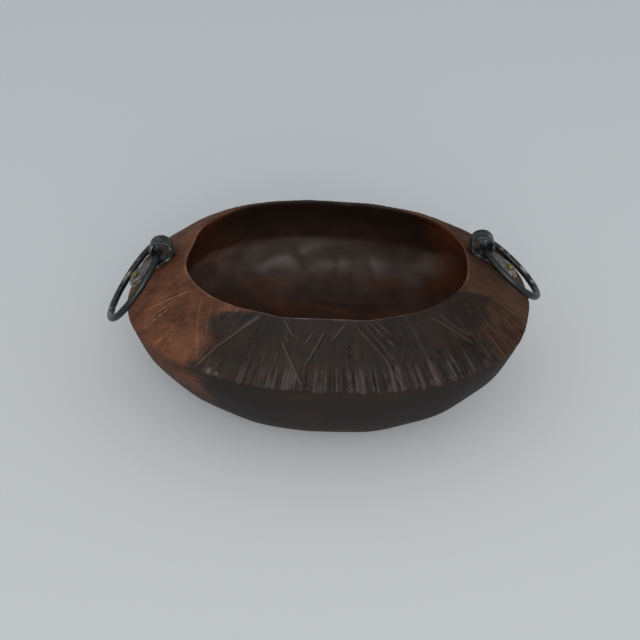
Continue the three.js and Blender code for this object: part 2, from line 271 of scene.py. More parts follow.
# The carving, in groups. Each stroke: depth, half width, how pale it shows (dust and painted
# highlight) and how dark (painted shade), then its path: by turns an angle in degrees and a
# share from keel (0) to rim (1).
carving = {
    "long diagonal": [
        (0.5, 1.1, 0.4, 0.3, [228, 0.02, 231.4, 0.38, 235.3, 0.65, 238.6, 0.88, 240.6, 0.97]),
        (0.3, 2.2, 0.5, 0, [236, 0.7, 240.8, 0.96]),
        (0.25, 0.5, 0.8, 0.2, [229, 0.84, 229.9, 1]),
    ],
    "first valley": [
        (0.5, 1.1, 0.55, 0.5, [251.2, 1, 258.8, 0.7]),
        (0.6, 1, 0.7, 0.5, [253.8, 0.64, 259.6, 0.35, 265.1, 0.05]),
        (0.3, 0.8, 0.5, 0.3, [254.6, 0.71, 257.4, 0.62]),
        (0.7, 1, 0.65, 0.9, [273.1, 0.83, 269.4, 0.58, 265.2, 0.3]),
        (0.45, 0.9, 0.45, 0.6, [267.9, 0.82, 264, 0.6]),
        (0.4, 1.1, 0.4, 0.3, [283.9, 0.95, 276, 0.68]),
    ],
    "second valley": [
        (0.7, 1, 0.75, 0.75, [287.9, 0.93, 293.2, 0.66, 296.8, 0.42, 300.2, 0.03]),
        (0.6, 0.9, 0.6, 0.7, [292.4, 0.94, 297, 0.63, 299.9, 0.38]),
        (0.5, 0.9, 0.6, 0.6, [294.6, 0.97, 299.4, 0.71]),
        (0.5, 0.9, 0.7, 0.7, [297.9, 0.97, 302.3, 0.75]),
        (0.3, 0.7, 0.9, 0.2, [299.7, 0.67, 302.1, 0.56]),
        (0.5, 0.9, 0.35, 0.7, [306.5, 0.61, 304.4, 0.48, 302.2, 0.34]),
    ],
    "third valley": [
        (0.55, 0.9, 0.7, 0.6, [320.6, 0.89, 324, 0.68, 325.9, 0.51, 327.6, 0.32]),
        (0.45, 0.8, 0.6, 0.5, [324.7, 0.9, 325.6, 0.7, 327, 0.56, 329.4, 0.42]),
        (0.9, 1.1, 0.3, 1, [325.4, 0.46, 326.8, 0.23, 329, 0.03]),
        (0.5, 1, 0.4, 0.8, [333.7, 0.42, 332, 0.26, 330.2, 0.08]),
        (0.4, 0.8, 0.5, 0.7, [332.2, 0.46, 330.6, 0.27, 329.4, 0.11]),
    ],
    "edge of the right panel": [
        (0.4, 0.9, 0.2, 0.6, [328.4, 0.96, 338.8, 0.94, 345.9, 0.76, 349.3, 0.52, 356.7, 0.12]),
    ],
    "right fan": [
        (0.5, 0.8, 0.4, 0.8, [346.6, 0.61, 350.2, 0.38, 356.3, 0.03]),
        (0.5, 0.9, 0.4, 1, [347.7, 0.52, 349, 0.33, 350.4, 0.03]),
        (0.6, 0.9, 0.4, 1, [346.8, 0.49, 347.1, 0.3, 346.4, 0.03]),
        (0.6, 1, 0.4, 1, [345.6, 0.41, 346.3, 0.25, 345.2, 0.03]),
        (0.6, 1, 0.4, 1, [344.6, 0.31, 344.7, 0.05]),
        (0.6, 1, 0.4, 1, [340.3, 0.26, 341, 0.03]),
        (0.6, 1, 0.4, 1, [338.3, 0.3, 339.2, 0.04]),
        (0.6, 1, 0.3, 1, [335.4, 0.3, 335.5, 0.03]),
        (0.6, 1, 0.3, 1, [333.4, 0.26, 333.2, 0.03]),
    ],
    "left fan": [
        (0.3, 0.55, 0.7, 0.2, [206.2, 0.85, 203, 0.55, 199.2, 0.2]),
        (0.3, 0.6, 0, 0.8, [204.8, 0.88, 200.9, 0.5]),
        (0.25, 0.5, 0.65, 0.1, [205.5, 0.66, 204.1, 0.28, 203.2, 0.1]),
        (0.25, 0.4, 0.5, 0.1, [206.6, 0.62, 205.6, 0.3, 204.5, 0.08]),
        (0.25, 0.5, 0.6, 0.2, [206.4, 0.5, 205.2, 0.04]),
        (0.2, 0.4, 0.6, 0.1, [212.4, 0.23, 212.6, 0.05]),
        (0.25, 0.5, 0.5, 0.4, [214.6, 0.4, 215.2, 0.25, 215.9, 0.04]),
    ],
    "pale streaks": [
        (0.12, 0.8, 0.28, 0, [213.2, 0.9, 218.6, 0.62, 224, 0.34, 227.8, 0.1]),
        (0.1, 0.7, 0.25, 0, [218.2, 0.92, 225, 0.48]),
        (0.1, 0.6, 0.25, 0, [221.6, 0.95, 227.4, 0.62]),
    ],
    "slits and a crack": [
        (0.9, 0.6, 0, 1, [180.2, 0.74, 184.6, 0.95]),
        (0.5, 0.35, 0, 0.9, [183.2, 0.68, 187.6, 0.88]),
        (0.25, 0.3, 0, 0.6, [283.7, 0.62, 283, 0.44, 282, 0.05]),
    ],
    "right end": [
        (0.4, 1.2, 0.4, 0.7, [329.8, 0.8, 328.8, 0.51]),
        (0.35, 1, 0.3, 0.5, [336.9, 0.83, 334.6, 0.62]),
        (0.25, 0.5, 0, 0.7, [1.8, 0.56, 3.1, 0.42]),
    ],
}

# Worm holes and chips: angle, share, radius and depth in millimetres, pale, and dark, which
# is painted shade inside a hole.
pits = [
    (283.5, 0.6, 0.5, 0.9, 0, 0.9), (283, 0.45, 0.5, 0.9, 0, 1), (282.8, 0.31, 0.55, 1, 0, 1),
    (282.6, 0.2, 0.4, 0.8, 0, 1), (282.4, 0.11, 0.42, 0.8, 0, 1), (282.2, 0.03, 0.48, 0.8, 0, 1),
    (316, 0.37, 0.55, 0.9, 0, 1), (314.7, 0.27, 0.45, 0.8, 0, 1),
    (245.1, 0.04, 0.6, 0.9, 0, 1), (232.6, 0.03, 1.5, 0.7, 1, 0), (235.4, 0.02, 1.2, 0.6, 0.9, 0),
    (309.5, 0.02, 1.4, 0.6, 0.5, 0), (296.2, 0.8, 0.5, 0.5, 0, 0.8), (67, 0.4, 0.6, 1, 0, 1),
    (69.5, 0.28, 0.5, 0.8, 0, 1), (121, 0.55, 0.6, 1, 0, 1), (38, 0.03, 1.6, 0.7, 0.8, 0),
]

# The rows of cuts along the keel, in front and behind. Places and pitch are in degrees.
notches = {
    "front": {
        "first": 243, "last": 352, "pitch": 2.05, "height": 0.29, "depth": 0.55,
        "halfWidth": 0.8, "seed": 41,
    },
    "back": {
        "first": 14, "last": 166, "pitch": 2.8, "height": 0.28, "depth": 0.6,
        "halfWidth": 0.8, "seed": 42,
    },
    "right": (290, 325),  # towards the right they get taller, deeper and darker
    "taller": 0.45,
    "deeper": 0.4,
    "darker": 0.3,
    "leftPale": (250, 275),
}

# The zigzag round the back: nested chevrons, each smaller by inward and higher by rise.
backZigzag = {
    "first": 22, "last": 158, "pitch": 22.5, "spread": 9.5, "nested": 3, "inward": 2.7,
    "low": 0.05, "rise": 0.24, "top": 0.95, "depth": 0.5, "halfWidth": 0.8,
    "pale": 0.7, "dark": 0.3, "seed": 43,
}

# Loose scratches: mostly down the slope, half of them pale (dust and painted highlight) and
# half dark (painted shade).
scratches = {
    "first": 226, "last": 352, "count": 150, "start": (0, 0.85), "length": (0.06, 0.3),
    "lean": 1.6, "pale": (0.05, 0.26), "dark": 0.4, "depth": (0.08, 0.2),
    "halfWidth": (0.3, 0.55), "seed": 44,
}

# The section of a stroke, in half widths from its middle: a raised lip on each side, a pale
# flank towards one side, dust and painted highlight, and a dark one towards the other,
# painted shade, as on a lit and a shaded wall of the cut. It fades over some millimetres at
# its ends, and reach is how many degrees past its ends it is looked for.
strokeLook = {
    "cutWidth": 0.7, "lipAt": 1.25, "lipWidth": 0.45, "lipHeight": 0.16, "paleAt": -0.25,
    "darkAt": 0.45, "flankWidth": 0.5, "fadeStart": 0.6, "fade": 3, "keelFade": 4,
    "atKeel": 0.06, "reach": 3,
}

# The handles: where each clip sits on the shoulder and points, where its strap and nail end,
# where the ring's ends meet and how strong the painted highlight along the top of its ring is.
# Millimetres and degrees.
handles = {
    "left": {
        "angle": 180.8, "yaw": 188, "down": 12.7, "tail": 22.5, "nail": 19.2,
        "joint": -35, "rubbed": 1, "seeds": {"clip": 51, "nail": 61, "ring": 71},
    },
    "right": {
        "angle": 9.1, "yaw": 3, "down": 5.9, "tail": 22.8, "nail": 19.4,
        "joint": 150, "rubbed": 0.92, "seeds": {"clip": 52, "nail": 62, "ring": 72},
    },
}

# How the tones and ribs lie: degrees round the dish, shares of the slope, or strengths.
tones = {
    "plainEnds": (-0.93, -0.8),  # the ends under the handles bear no ribs
    "lowBand": (0.12, 0.36),
    "ribHeight": 0.1,
    "chips": 0.12,
    "rightward": (236, 292),
    # painted shade on the upper band at the right: its span, then its strength
    "upperRight": (292, 304, 346, 352),
    "upperDark": 0.2,
    # painted shade on the wood round each clip: strength and reach in millimetres
    "stain": 0.75,
    "stainReach": 5.4,
    "keelShade": 0.62,
    "keelShadeFall": 2.6,
    "leftEdge": (229.5, 220.5),
    "leftEdgeTurn": 12,
    "leftEdgeSoft": 3.5,
    "rightEdge": (355, 341),
    "rightEdgeBend": 1.3,
    "rightEdgeSoft": 1,
    "fanLeft": (329, 334),
    "fanRight": (340, 346),
    "fanStep": (336, 344),
    "fanTop": (0.36, 0.5),
    "fanBare": 0.85,
    "hullDark": 0.85,
    "hullDarkFrom": (6, 34),
    "backDark": (42, 60, 130, 158),
    "rimBack": (-0.5, 0.3),
    "rimGap": (304, 316, 342, 350),
}


def keelCuts(rule):
    dice = np.random.default_rng(rule["seed"])
    cuts = []
    place = rule["first"]
    while place < rule["last"]:
        right = float(smoothStep(place, *notches["right"]))
        lean = dice.uniform(-0.5, 0.5)
        height = rule["height"] * (1 + notches["taller"] * right) * dice.uniform(0.7, 1.25)
        path = [(place - lean, height), (place - 0.4 * lean, height * 0.5), (place, -0.02)]
        depth = rule["depth"] * (1 + notches["deeper"] * right) * dice.uniform(0.6, 1.15)
        # dark: painted shade in the cut, weaker at the left and stronger at the right
        shown = blend(0.5, 1, float(smoothStep(place, *notches["leftPale"])))
        dark = dice.uniform(0.2, 0.6) * shown + notches["darker"] * right
        cuts.append((depth, rule["halfWidth"] * dice.uniform(0.6, 1.2), 0, dark, path))
        place += rule["pitch"] * dice.uniform(0.65, 1.3)
    return cuts


def zigzag(rule):
    dice = np.random.default_rng(rule["seed"])
    cuts = []
    middle = rule["first"]
    while middle < rule["last"]:
        for nested in range(rule["nested"]):
            spread = rule["spread"] - rule["inward"] * nested
            low = rule["low"] + rule["rise"] * nested + dice.uniform(-0.03, 0.03)
            for side in (-1, 1):
                path = [(middle + side * spread, rule["top"]), (middle, low)]
                depth = rule["depth"] * dice.uniform(0.7, 1.1)
                half = rule["halfWidth"] * dice.uniform(0.8, 1.1)
                cuts.append((depth, half, rule["pale"], rule["dark"], path))
        middle += rule["pitch"] * dice.uniform(0.9, 1.1)
    return cuts


def looseScratches(rule):
    dice = np.random.default_rng(rule["seed"])
    cuts = []
    for _ in range(rule["count"]):
        place, low = dice.uniform(rule["first"], rule["last"]), dice.uniform(*rule["start"])
        length = dice.uniform(*rule["length"])
        lean = dice.normal(0, rule["lean"])
        path = [(place - lean * length * 4, low + length), (place, low)]
        pale = dice.uniform(*rule["pale"]) * (dice.uniform() < 0.5)
        depth, half = dice.uniform(*rule["depth"]), dice.uniform(*rule["halfWidth"])
        cuts.append((depth, half, pale, rule["dark"] * (pale == 0), path))
    return cuts


def onShoulder(degrees, share):
    angle = math.radians(degrees)
    radius, level = (float(v) for v in shoulderPoint(angle, share))
    return np.array([radius * math.cos(angle), radius * math.sin(angle), level])


def handleSeat(handle):
    slope = float(shoulderSlope(math.radians(handle["angle"])))
    return onShoulder(handle["angle"], 1 - handle["down"] / slope)


def runAlong(line):  # length along a line up to each of its points
    return np.concatenate([[0], np.cumsum(np.linalg.norm(np.diff(line, axis=0), axis=1))])


# Cuts one stroke into the band: a V with softened lips that runs out at both ends.
def cutStroke(points, degrees, fields, stroke):
    depth, half, pale, dark, path = stroke
    look = strokeLook
    fine = [path[0]]
    for (a0, s0), (a1, s1) in zip(path[:-1], path[1:]):
        fine += [(blend(a0, a1, k / 4), blend(s0, s1, k / 4)) for k in range(1, 5)]
    line = np.array([onShoulder(a, s) for a, s in fine])
    runs = runAlong(line)
    low, high = min(a for a, s in path) - look["reach"], max(a for a, s in path) + look["reach"]
    columns = np.nonzero((degrees - low) % 360 < high - low)[0]
    near = points[:, columns]
    best = np.full(near.shape[:2], np.inf)
    along = np.zeros(near.shape[:2])
    side = np.zeros(near.shape[:2])
    for a, b, run in zip(line[:-1], line[1:], runs):
        ab = b - a
        t = np.clip((near - a) @ ab / (ab @ ab), 0, 1)
        away = near - a - t[..., None] * ab
        gap = np.linalg.norm(away, axis=-1)
        closer = gap < best
        best = np.where(closer, gap, best)
        along = np.where(closer, run + t * np.linalg.norm(ab), along)
        side = np.where(closer, np.sign(away @ np.array([-a[1], a[0], 0])), side)
    if path[-1][1] < look["atKeel"]:  # a cut that runs out over the keel stays deep there
        taper = smoothStep(along + look["fadeStart"], 0, look["keelFade"])
    else:
        taper = smoothStep(np.minimum(along, runs[-1] - along) + look["fadeStart"], 0, look["fade"])

    def ridge(across, middle, width):
        return np.exp(-(((across - middle * half) / (width * half)) ** 2)) * taper

    groove = np.clip(1 - best / half, 0, 1) * taper
    lips = ridge(best, look["lipAt"], look["lipWidth"])
    fields["height"][:, columns] += depth * (look["lipHeight"] * lips - groove)
    # pale flank: dust and painted highlight; dark flank: painted shade on the cut's other wall
    flanks = {"pale": (pale, look["paleAt"]), "dark": (dark, look["darkAt"])}
    for key, (strength, middle) in flanks.items():
        shown = strength * ridge(side * best, middle, look["flankWidth"])
        fields[key][:, columns] = np.maximum(fields[key][:, columns], shown)


def sinkPit(points, fields, pit):
    degrees, share, size, depth, pale, dark = pit
    gap = np.linalg.norm(points - onShoulder(degrees, share), axis=-1)
    sunk = np.exp(-((gap / size) ** 2) * 1.4)
    fields["height"] -= depth * sunk
    for key, strength in {"pale": pale, "dark": dark}.items():
        fields[key] = np.maximum(fields[key], strength * sunk)


def circle(angle, radius):
    return np.stack([radius * np.cos(angle), radius * np.sin(angle), 0 * angle], axis=-1)


def gridNormals(points):
    across = np.roll(points, -1, axis=1) - np.roll(points, 1, axis=1)
    up = np.gradient(points, axis=0)
    out = np.cross(across, up)
    return out / np.maximum(np.linalg.norm(out, axis=-1, keepdims=True), 1e-9)


def newObject(name, vertices, faces, attributes=None, smoothAngle=50):
    mesh = bpy.data.meshes.new(name)
    mesh.from_pydata([tuple(v) for v in vertices], [], faces)
    mesh.update()
    for key, values in (attributes or {}).items():
        layer = mesh.attributes.new(key, "FLOAT", "POINT")
        layer.data.foreach_set("value", np.asarray(values, dtype=np.float32))
    mesh.shade_smooth()
    mesh.set_sharp_from_angle(angle=math.radians(smoothAngle))
    made = bpy.data.objects.new(name, mesh)
    bpy.context.scene.collection.objects.link(made)
    return made


# The body's points before any hand work, with a mask for each kind of row.
def bowlGrid():
    angle = np.arange(bowlMesh["columns"]) / bowlMesh["columns"] * 2 * math.pi
    rows = bowlRows(angle)
    kinds = np.array([row[0] for row in rows])
    radius = np.array([row[2][0] for row in rows])
    level = np.array([row[2][1] for row in rows])
    grid = {kind: (kinds == kind)[:, None] for kind in ("hull", "band", "rim", "hollow")}
    grid["share"] = np.array([row[1] + 0 * angle for row in rows])
    grid["points"] = np.stack([radius * np.cos(angle), radius * np.sin(angle), level], axis=-1)
    grid.update(level=level, angle=angle, degrees=np.degrees(angle))
    grid["along"] = np.cos(angle)[None, :]  # -1 at the left end, 1 at the right
    grid["around"] = circle(angle, 66)  # where waves that only run round the dish are read
    return grid


# Cuts the band. Returns its height and how pale, dark and ribbed it is, over the whole grid.
def carveBand(grid):
    rows = np.nonzero(grid["band"][:, 0])[0]
    points, degrees, around = grid["points"][rows], grid["degrees"], grid["around"]
    band = {key: np.zeros(points.shape[:2]) for key in ("height", "pale", "dark")}
    strokes = []
    for depth, half, pale, dark, path in itertools.chain(*carving.values()):
        path = list(zip(path[::2], path[1::2]))
        strokes.append((depth, half * strokeLook["cutWidth"], pale, dark, path))
    strokes += keelCuts(notches["front"]) + keelCuts(notches["back"])
    strokes += zigzag(backZigzag) + looseScratches(scratches)
    for stroke in strokes:
        cutStroke(points, degrees, band, stroke)
    for pit in pits:
        sinkPit(points, band, pit)

    # The ribs left standing between the cuts, each a little lighter or darker.
    carved = smoothStep(-np.abs(grid["along"]), *tones["plainEnds"])
    ribs = (wave("ribs", around) + wave("fineRibs", around))[None, :]
    ribs = (ribs + wave("brokenRibs", points)) * carved
    lowBand = 1 - smoothStep(grid["share"][rows], *tones["lowBand"])
    band["height"] += tones["ribHeight"] * ribs * (0.4 + 0.6 * lowBand) + wave("shoulder", points)
    rightward = blend(0.3, 1.1, smoothStep(degrees, *tones["rightward"]))
    band["rib"] = ribs * (0.2 + 0.8 * lowBand) * rightward
    band["rib"] = band["rib"] + (0.3 + 0.4 * rightward) * carved * lowBand

    corner = bowlMesh["keelRows"]
    # a pale line along the keel's edge, broken up
    chipped = tones["chips"] * carved[0] * smoothStep(wave("chips", around), -0.6, 1.2)
    band["pale"][corner] = np.maximum(band["pale"][corner], chipped)
    # painted shade on the upper part of the band at the right
    upperRight = tones["upperDark"] * plateau(degrees, *tones["upperRight"]) * (1 - lowBand)
    band["dark"] = np.maximum(band["dark"], upperRight)
    for handle in handles.values():  # painted shade on the wood round each clip
        gap = np.linalg.norm(points - handleSeat(handle), axis=-1)
        stain = tones["stain"] * np.exp(-((gap / tones["stainReach"]) ** 2))
        band["dark"] = np.maximum(band["dark"], stain)

    fields = {key: np.zeros(grid["share"].shape) for key in band}
    for key in fields:
        fields[key][rows] = band[key]
    # painted shadow on the hull just under the keel's edge, less where the keel is worn round
    below = (grid["level"] - keelLevel(grid["angle"])) / tones["keelShadeFall"]
    shaded = tones["keelShade"] * np.exp(below) * (1 - wear(grid["angle"]))
    fields["dark"] = np.where(grid["hull"], shaded, fields["dark"])
    return fields


# Moves the skin: the carving on the band, gouge work below it and in the hollow, and a
# wavy keel and rim.
def workByHand(grid, carvedHeight):
    points, share, angle = grid["points"], grid["share"], grid["angle"]
    deep = smoothStep(share, 0, 0.25)
    standing = smoothStep(grid["level"], 1, 6)
    hull = wave("hull", points) + gouge("hull", points)
    hollow = wave("hollow", points) + gouge("hollow", points) + gouge("hollowFine", points)
    lift = carvedHeight + grid["hull"] * standing * hull + grid["hollow"] * deep * hollow
    points = points + gridNormals(points) * lift[..., None]
    firstRow = int(np.argmax(grid["band"][:, 0]))
    for i in range(bowlMesh["keelRows"]):
        drop = (1 - i / bowlMesh["keelRows"]) * (1 - wear(angle))
        points[firstRow + i, :, 2] += drop * wave("keel", grid["around"])
    nearRim = smoothStep(share, 0.85, 1) * (grid["band"] | grid["rim"])
    wobble = wave("rim", circle(angle, 60)) * (nearRim + grid["hollow"] * (1 - deep))
    points[..., 0] += wobble * np.cos(angle)
    points[..., 1] += wobble * np.sin(angle)
    points[..., 2] -= 0.5 * np.abs(wobble)
    return points


# The handled dark of the front. It stops at the rubbed left end and at the right panel's
# edge, and leaves most of the fan of cuts at the right bare.
def handledDark(grid, points):
    degrees = grid["degrees"][None, :]
    height = np.where(grid["rim"], 1, np.where(grid["band"], grid["share"], 0))
    leftEdge = blend(*tones["leftEdge"], height) + wave("leftEdge", points)
    leftEdge = leftEdge + tones["leftEdgeTurn"] * smoothStep(height, 0.82, 1)
    rightEdge = blend(*tones["rightEdge"], height ** tones["rightEdgeBend"])
    rightEdge = rightEdge + wave("rightEdge", points)
    left, right = tones["leftEdgeSoft"], tones["rightEdgeSoft"]
    sooty = plateau(degrees, leftEdge - left, leftEdge + left, rightEdge - right, rightEdge + right)
    spot = degrees + wave("fan", points)
    fan = 0.6 * smoothStep(spot, *tones["fanLeft"]) + 0.4 * smoothStep(spot, *tones["fanRight"])
    fanHeight = height - 0.14 * smoothStep(spot, *tones["fanStep"])
    fan = fan * (1 - smoothStep(fanHeight, *tones["fanTop"]))
    sooty = sooty * (1 - tones["fanBare"] * fan)
    below = smoothStep(keelLevel(grid["angle"]) - grid["level"], *tones["hullDarkFrom"])
    sooty = np.maximum(sooty, grid["hull"] * tones["hullDark"] * below)
    return np.maximum(sooty, 0.8 * plateau(degrees, *tones["backDark"]))


# Painted highlight along the rim's edge: more in front than behind, and little at the right.
def rimPaleness(grid):
    seen = blend(0.15, 0.8, smoothStep(-np.sin(grid["angle"]), *tones["rimBack"]))
    seen = seen * (1 - 0.85 * plateau(grid["degrees"], *tones["rimGap"]))
    seen = seen * blend(0.5, 1, smoothStep(wave("rimSeen", grid["around"]), -0.8, 0.8))
    edge = 0.5 * grid["band"] * smoothStep(grid["share"], 0.985, 1)
    return np.maximum(grid["rim"], edge) * seen


# Joins the rows: every column between fine rows, every fourth between coarse ones, and fans
# of triangles where they meet. Number holds the index of each point of the grid.
def joinRows(fineRow, number):
    columns, thin = bowlMesh["columns"], bowlMesh["thinning"]
    half = thin // 2
    faces = []
    for row in range(len(fineRow) - 1):
        low, high = number[row].tolist(), number[row + 1].tolist()
        step = 1 if fineRow[row] and fineRow[row + 1] else thin
        for c in range(0, columns, step):
            d = (c + step) % columns
            if fineRow[row] == fineRow[row + 1]:
                faces.append((low[c], low[d], high[d], high[c]))
                continue
            wide, fine, turn = (low, high, 1) if fineRow[row + 1] else (high, low, -1)
            faces.append((*(wide[c], wide[d])[::turn], fine[c + half]))
            for k in range(half):
                first, second = fine[c + k:c + k + 2], c + half + k
                faces.append((wide[c], *first[::-turn]))
                faces.append((wide[d], *(fine[second], fine[(second + 1) % columns])[::-turn]))
    return faces


def buildBowl():
    grid = bowlGrid()
    fields = carveBand(grid)
    points = workByHand(grid, fields.pop("height"))
    share, along, hollow = grid["share"], grid["along"], grid["hollow"]
    whole = np.zeros(share.shape)
    # painted light on the hollow's inner ends, stronger at the right
    glow = smoothStep(along, 0.68, 0.98) + 0.4 * smoothStep(-along, 0.7, 0.98)
    attributes = fields | {
        "sooty": handledDark(grid, points),
        "hull": grid["hull"] + whole,
        "hollow": hollow + whole,
        "rim": rimPaleness(grid),
        "hue": wave("hue", grid["around"]) + whole,
        "glow": hollow * glow * (1 - smoothStep(share, 0.8, 1.5)),
        "leftEnd": smoothStep(-along, 0.35, 0.85) + whole,
        "depth": hollow * (share + 0.5 * smoothStep(along, 0.75, 1)),
    }

    thin = bowlMesh["thinning"]
    fineRow = (grid["band"] | grid["rim"])[:, 0]
    used = np.repeat(fineRow[:, None], bowlMesh["columns"], axis=1)
    used[:, ::thin] = True
    number = np.cumsum(used.ravel()).reshape(used.shape) - 1
    faces = joinRows(fineRow, number)
    foot = int(used.sum())
    floor = foot + 1
    vertices = np.vstack([points[used], [(0, 0, 0)], [(0, 0, bowl["floorThickness"])]])
    atMiddle = {"hull": (1, 0), "hollow": (0, 1), "depth": (0, 2)}  # at the foot and the floor
    values = {}
    for key, value in attributes.items():
        values[key] = np.append(value[used], atMiddle.get(key, (0, 0)))
    for c in range(0, bowlMesh["columns"], thin):
        d = (c + thin) % bowlMesh["columns"]
        faces.append((foot, int(number[0, d]), int(number[0, c])))
        faces.append((floor, int(number[-1, c]), int(number[-1, d])))
    return newObject("bowl_carved", vertices * millimetre, faces, values)


strap = {
    "width": 8,
    "thickness": 1.3,
    "edge": 0.34,
    "endRound": 1.6,
    "loopOuterRadius": 5.9,
    "loopWrap": 285,
    "loopNeck": 10.3,
    "leafSlit": 0.3,
    "seatGap": 0.3,
    "hammer": 0.06,
    "hammerSize": 5,
    "flare": 3.2,
    "flareStart": 7,
    "flareEnd": 12,
    "overhang": 1.2,
    "leafSteps": 26,
    "loopSteps": 64,
    "neckSteps": 20,
    "dustyNeck": (6, 14),
    "dustyEnd": 6,
    "smoothAngle": 35,
}

nail = {
    "length": 13,
    "point": 3,
    "shank": 1,
    "head": 2.1,
    "headHeight": 1.35,
    "headEdge": 0.3,
    "dent": 0.12,
    "dentSize": 1.5,
    "sides": 40,
    "domeRows": 12,
    "smoothAngle": 40,
}

wire = {
    "radius": 1.75,
    "gap": 0.08,
    "endBevel": 0.16,
    "steps": 220,
    "sides": 22,
    "flaw": 0.03,
    "flawSize": 4.5,
    "smoothAngle": 40,
}


def shoulderHeight(x, y):
    angle = math.atan2(y, x)
    keel = keelRadius(angle)
    share = (keel - math.hypot(x, y)) / (keel - rimRadius(angle))
    return float(shoulderPoint(angle, share)[1])


def handlePlace(handle):
    place = Vector(handleSeat(handle))
    fallX = shoulderHeight(place.x - 0.5, place.y) - shoulderHeight(place.x + 0.5, place.y)
    fallY = shoulderHeight(place.x, place.y - 0.5) - shoulderHeight(place.x, place.y + 0.5)
    out = Vector((fallX, fallY, 1)).normalized()
    yaw = math.radians(handle["yaw"])
    down = Vector((math.cos(yaw), math.sin(yaw), 0))
    down = (down - out * down.dot(out)).normalized()
    across = out.cross(down)
    return Matrix.Translation(place) @ Matrix((down, across, out)).transposed().to_4x4()


# The wood below a strap, as runs and levels in the handle's own frame.
def woodLine(handle, place):
    inverse = place.inverted()
    origin = place.translation
    yaw = math.radians(handle["yaw"])
    line = []
    run = 0
    while run <= handle["tail"] + strap["overhang"] + strap["thickness"]:
        x, y = origin.x + math.cos(yaw) * run, origin.y + math.sin(yaw) * run
        local = inverse @ Vector((x, y, shoulderHeight(x, y)))
        line.append((local.x, local.z))
        run += strap["thickness"]
    return np.array(line)


def bezier(a, b, c, d, count):
    t = (np.arange(count) + 1)[:, None] / count
    return (1 - t) ** 3 * a + 3 * t * (1 - t) ** 2 * b + 3 * t * t * (1 - t) * c + t ** 3 * d


# Middle line of the folded strip: up the wood, round the wire and back down.
def stripLine(handle, place):
    wood = woodLine(handle, place)

    def lower(run):
        level = float(np.interp(run, wood[:, 0], wood[:, 1]))
        return level + strap["seatGap"] + strap["thickness"] / 2

    def upper(run):
        return lower(run) + strap["thickness"] + strap["leafSlit"]

    loop = strap["loopOuterRadius"] - strap["thickness"] / 2
    middle = strap["seatGap"] + strap["loopOuterRadius"]
    tail = handle["tail"] + strap["overhang"]
    line = [(run, lower(run)) for run in np.linspace(tail, strap["thickness"], strap["leafSteps"])]
    for wrap in np.linspace(0, strap["loopWrap"], strap["loopSteps"]):
        turn = math.radians(-90 - wrap)
        line.append((loop * math.cos(turn), middle + loop * math.sin(turn)))
    start = np.array(line[-1])
    heading = start - np.array(line[-2])
    heading /= np.linalg.norm(heading)
    reach = strap["thickness"] * 2
    neck = strap["loopNeck"]
    before, end = np.array([neck - reach, upper(neck - reach)]), np.array([neck, upper(neck)])
    line += bezier(start, start + heading * reach, before, end, strap["neckSteps"]).tolist()
    line += [(run, upper(run)) for run in np.linspace(neck, tail, 22)[1:]]
    return np.array(line)


# A closed skin over a row of sections, each a ring of points.
def skin(sections):
    count, sides = len(sections), len(sections[0])
    faces = []
    for a in range(0, (count - 1) * sides, sides):
        b = a + sides
        for k in range(sides):
            n = (k + 1) % sides
            faces.append((a + k, a + n, b + n, b + k))
    faces.append(tuple(range(sides))[::-1])
    faces.append(tuple(range((count - 1) * sides, count * sides)))
    return np.concatenate(sections), faces


def stripSection(halfWidth, halfThickness, edge):
    section = []
    for cornerY, cornerZ, start in ((1, 1, 0), (-1, 1, 90), (-1, -1, 180), (1, -1, 270)):
        for k in range(5):
            turn = math.radians(start + k * 22.5)
            y = cornerY * (halfWidth - edge) + edge * math.cos(turn)
            z = cornerZ * (halfThickness - edge) + edge * math.sin(turn)
            section.append((y, z))
        if cornerY == cornerZ:  # a few points along each broad face
            spread = np.linspace(cornerY, -cornerY, 8)[1:-1] * (halfWidth - edge)
            section += [(y, cornerZ * halfThickness) for y in spread]
    return np.array(section)


def buildClip(side, place):
    handle = handles[side]
    line = stripLine(handle, place)
    runs = runAlong(line)
    endRound = strap["endRound"]
    sections = []
    for i, (point, run) in enumerate(zip(line, runs)):
        before, after = line[max(0, i - 1)], line[min(len(line) - 1, i + 1)]
        heading = (after - before) / np.linalg.norm(after - before)
        normal = np.array([-heading[1], heading[0]])
        toEnd = min(run, runs[-1] - run, endRound)
        short = endRound - math.sqrt(endRound ** 2 - (endRound - toEnd) ** 2)
        flared = float(smoothStep(point[0], strap["flareStart"], strap["flareEnd"]))
        half = (strap["width"] + strap["flare"] * flared) / 2 - short
        flat = stripSection(half, strap["thickness"] / 2, strap["edge"])
        ring = [(point[0] + normal[0] * z, -y, point[1] + normal[1] * z) for y, z in flat]
        sections.append(np.array(ring))
    vertices, faces = skin(sections)
    worn = ripples(vertices, strap["hammerSize"], handle["seeds"]["clip"])
    vertices = vertices + strap["hammer"] * worn[:, None] * (0, 1, 0.5)
    down, tail = vertices[:, 0], handle["tail"]
    dusty = 0.6 * smoothStep(down, *strap["dustyNeck"])
    dusty = dusty + 0.4 * smoothStep(down, tail - strap["dustyEnd"], tail)
    layers = {"dusty": dusty, "worn": worn}
    made = newObject("clip_" + side + "_strap", vertices, faces, layers, strap["smoothAngle"])
    return putInPlace(made, place)


def putInPlace(made, place):  # from a handle's own frame in millimetres to metres
    made.data.transform(Matrix.Scale(millimetre, 4) @ place)
    made.data.update()
    return made


def nailPlace(handle, place):
    wood = woodLine(handle, place)

    def under(run):
        return float(np.interp(run, wood[:, 0], wood[:, 1]))

    rise = under(handle["nail"] + nail["shank"]) - under(handle["nail"] - nail["shank"])
    lean = Matrix.Rotation(-math.atan2(rise, 2 * nail["shank"]), 4, "Y")
    return place @ Matrix.Translation((handle["nail"], 0, under(handle["nail"]))) @ lean


